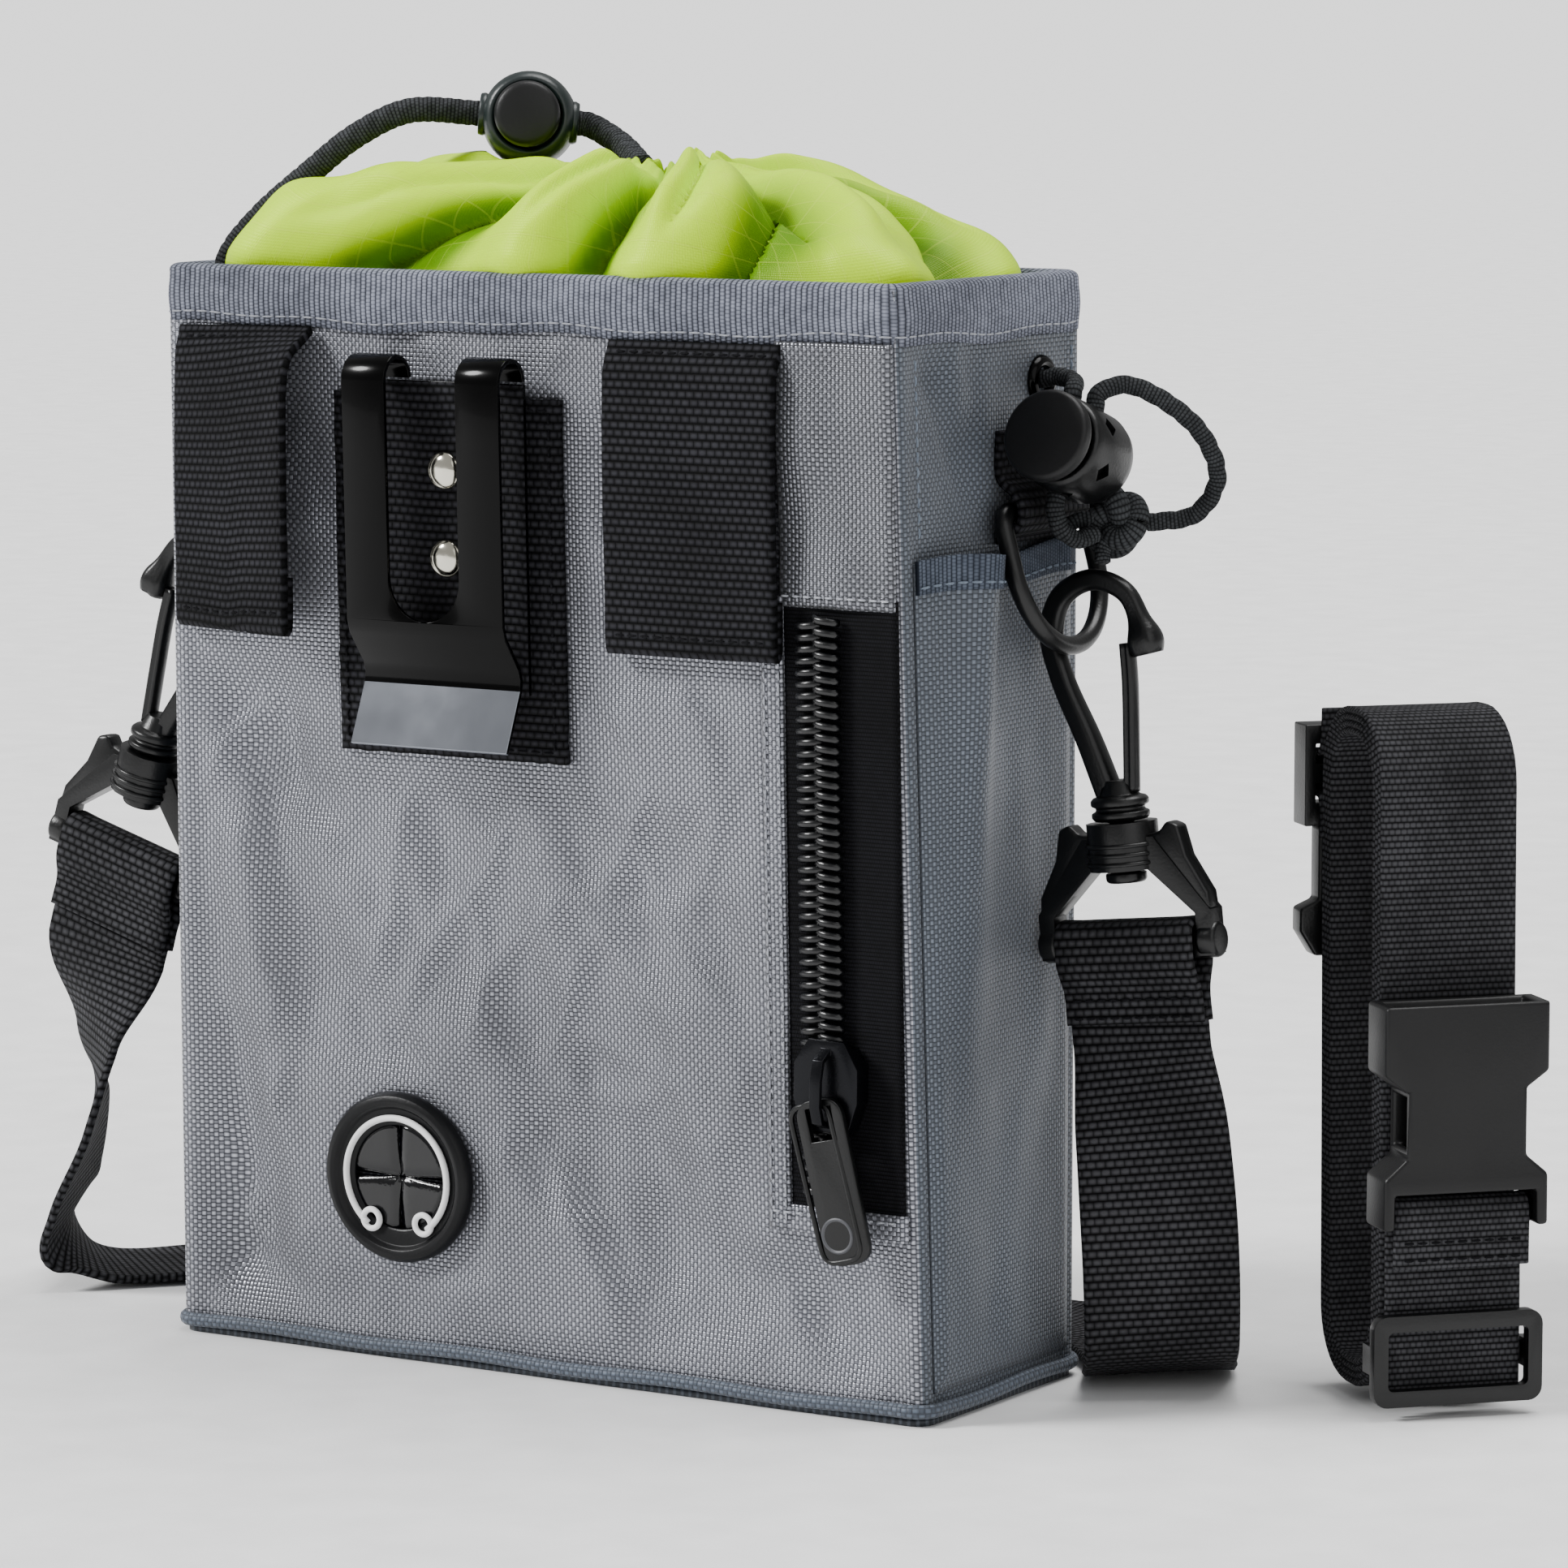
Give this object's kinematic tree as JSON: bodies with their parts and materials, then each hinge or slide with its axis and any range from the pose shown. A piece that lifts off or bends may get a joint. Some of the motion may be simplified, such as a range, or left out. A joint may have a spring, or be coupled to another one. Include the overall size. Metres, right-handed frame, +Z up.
{
  "type": "treat pouch",
  "caption": "Soft drawstring treat pouch with belt clip, belt loops, zip pocket, cord locks, clip-on shoulder strap and a wound spare waist belt beside it.",
  "frame": {"origin": "centre of the pouch's base, on the surface it stands on", "axes": "+Z up; the face with the belt clip looks along -Y; the side pocket and the right hook are on +X"},
  "size_m": [0.3009, 0.113, 0.2301],
  "materials": {
    "face_fabric": "coated oxford weave, satin",
    "gusset_fabric": "oxford weave, matt",
    "binding_tape": "ribbed tape, matt",
    "lime_lining": "thin coated nylon, satin",
    "black_webbing": "ribbed webbing, matt",
    "black_cord": "braided, matt",
    "black_plastic": "moulded, satin",
    "toggle_plastic": "moulded, satin",
    "black_rubber": "matt",
    "black_steel": "black finish, semi-gloss",
    "bright_steel": "bright",
    "white_print": "matt"
  },
  "bodies": {
    "pouch": {"front_panel": "face_fabric", "back_panel": "face_fabric", "left_gusset": "gusset_fabric", "right_gusset": "gusset_fabric", "base_panel": "gusset_fabric", "base_piping": "gusset_fabric", "side_pocket": "gusset_fabric", "rim_binding": "binding_tape", "inner_lining": "lime_lining", "drawstring_collar": "lime_lining", "ring_tab_right": "black_webbing", "ring_tab_left": "black_webbing", "strap_right": "black_webbing", "strap_left": "black_webbing", "strap_back": "black_webbing", "strap_spare": "black_webbing", "belt_loop_left": "black_webbing", "belt_loop_right": "black_webbing", "clip_patch": "black_webbing", "zip_tape": "black_webbing", "collar_cord": "black_cord", "side_cord_straight": "black_cord", "side_cord_loop": "black_cord", "side_cord_knot": "black_cord", "side_lock_body": "black_plastic", "hook_right": "black_plastic", "hook_left": "black_plastic", "zip_chain": "black_plastic", "collar_lock_body": "toggle_plastic", "grommet_ring": "black_rubber", "grommet_membrane": "black_rubber", "clip_plate": "black_steel", "side_eyelet": "black_steel", "clip_rivet_lower": "bright_steel", "clip_rivet_upper": "bright_steel", "collar_lock_spring": "bright_steel", "side_lock_spring": "bright_steel", "grommet_symbol": "white_print"},
    "clip_tongue": {"clip_tongue": "black_steel"},
    "zip_slider": {"zip_slider": "black_steel"},
    "zip_pull": {"zip_pull": "black_plastic"},
    "collar_lock_button": {"collar_lock_button": "toggle_plastic"},
    "side_lock_button": {"side_lock_button": "black_plastic"},
    "ring_right": {"d_ring_right": "black_plastic"},
    "ring_left": {"d_ring_left": "black_plastic"},
    "gate_right": {"hook_gate_right": "black_plastic"},
    "gate_left": {"hook_gate_left": "black_plastic"},
    "swivel_right": {"hook_base_right": "black_plastic", "strap_end_right": "black_webbing"},
    "swivel_left": {"hook_base_left": "black_plastic", "strap_end_left": "black_webbing"},
    "strap_slider": {"strap_slider": "black_plastic"},
    "belt": {"belt_webbing": "black_webbing", "belt_tail": "black_webbing", "buckle_socket": "black_plastic", "buckle_plug": "black_plastic"},
    "belt_slider": {"belt_slider": "black_plastic"},
    "prong_right": {"buckle_prong_right": "black_plastic"},
    "prong_left": {"buckle_prong_left": "black_plastic"}
  },
  "joints": [
    {"name": "clip_tongue_flex", "type": "hinge", "parent": "pouch", "child": "clip_tongue", "pos_m": [-0.014, -0.03411, 0.17676], "axis": [-1, 0, 0], "range_deg": [0, 8], "stiffness_Nm_per_rad": 2, "springref_deg": -1.72},
    {"name": "zip_slide", "type": "slide", "parent": "pouch", "child": "zip_slider", "axis": [0.038, -0.028, 0.9989], "range_m": [-0.01, 0.066]},
    {"name": "zip_pull_swing", "type": "hinge", "parent": "zip_slider", "child": "zip_pull", "pos_m": [0.06317, -0.03465, 0.05505], "axis": [-0.9993, -0.0011, 0.038], "range_deg": [0, 100]},
    {"name": "collar_lock_press", "type": "slide", "parent": "pouch", "child": "collar_lock_button", "axis": [-0.5203, 0.8455, -0.1201], "range_m": [0, 0.002], "stiffness_N_per_m": 400, "springref_m": -0.003},
    {"name": "side_lock_press", "type": "slide", "parent": "pouch", "child": "side_lock_button", "axis": [0, 0.9507, -0.3102], "range_m": [0, 0.002], "stiffness_N_per_m": 400, "springref_m": -0.003},
    {"name": "ring_right_swing", "type": "hinge", "parent": "pouch", "child": "ring_right", "pos_m": [0.07913, 0.013, 0.155], "axis": [0, -1, 0], "range_deg": [0, 18]},
    {"name": "ring_left_swing", "type": "hinge", "parent": "pouch", "child": "ring_left", "pos_m": [-0.07913, -0.004, 0.155], "axis": [0, 1, 0], "range_deg": [0, 18]},
    {"name": "gate_right_flex", "type": "hinge", "parent": "pouch", "child": "gate_right", "pos_m": [0.09718, 0.013, 0.1063], "axis": [0, -1, 0], "range_deg": [0, 14], "stiffness_Nm_per_rad": 0.05, "springref_deg": -8.59},
    {"name": "gate_left_flex", "type": "hinge", "parent": "pouch", "child": "gate_left", "pos_m": [-0.10221, -0.004, 0.10808], "axis": [0, 1, 0], "range_deg": [0, 14], "stiffness_Nm_per_rad": 0.05, "springref_deg": -8.59},
    {"name": "swivel_right_turn", "type": "hinge", "parent": "pouch", "child": "swivel_right", "pos_m": [0.0972, 0.013, 0.0843], "axis": [-0.1098, 0, 0.994], "range_deg": [-40, 40]},
    {"name": "swivel_left_turn", "type": "hinge", "parent": "pouch", "child": "swivel_left", "pos_m": [-0.1063, -0.004, 0.0866], "axis": [0.2927, 0, 0.9562], "range_deg": [-40, 40]},
    {"name": "strap_slider_slide", "type": "slide", "parent": "pouch", "child": "strap_slider", "axis": [1, 0, 0], "range_m": [-0.006, 0.006]},
    {"name": "belt_lift_off", "type": "slide", "parent": "pouch", "child": "belt", "axis": [1, 0, 0], "range_m": [0, 0.15]},
    {"name": "belt_slider_slide", "type": "slide", "parent": "belt", "child": "belt_slider", "axis": [0, 0, 1], "range_m": [0, 0.007]},
    {"name": "prong_right_flex", "type": "hinge", "parent": "belt", "child": "prong_right", "pos_m": [0.13001, 0.06497, 0.0977], "axis": [-0.7311, 0.6822, 0], "range_deg": [0, 6], "stiffness_Nm_per_rad": 0.3, "springref_deg": -2.86},
    {"name": "prong_left_flex", "type": "hinge", "parent": "belt", "child": "prong_left", "pos_m": [0.11595, 0.04991, 0.0977], "axis": [0.7311, -0.6822, 0], "range_deg": [0, 6], "stiffness_Nm_per_rad": 0.3, "springref_deg": -2.86}
  ],
  "couplings": [
    {"joint": "prong_left_flex", "follows": "prong_right_flex", "ratio": 1}
  ]
}
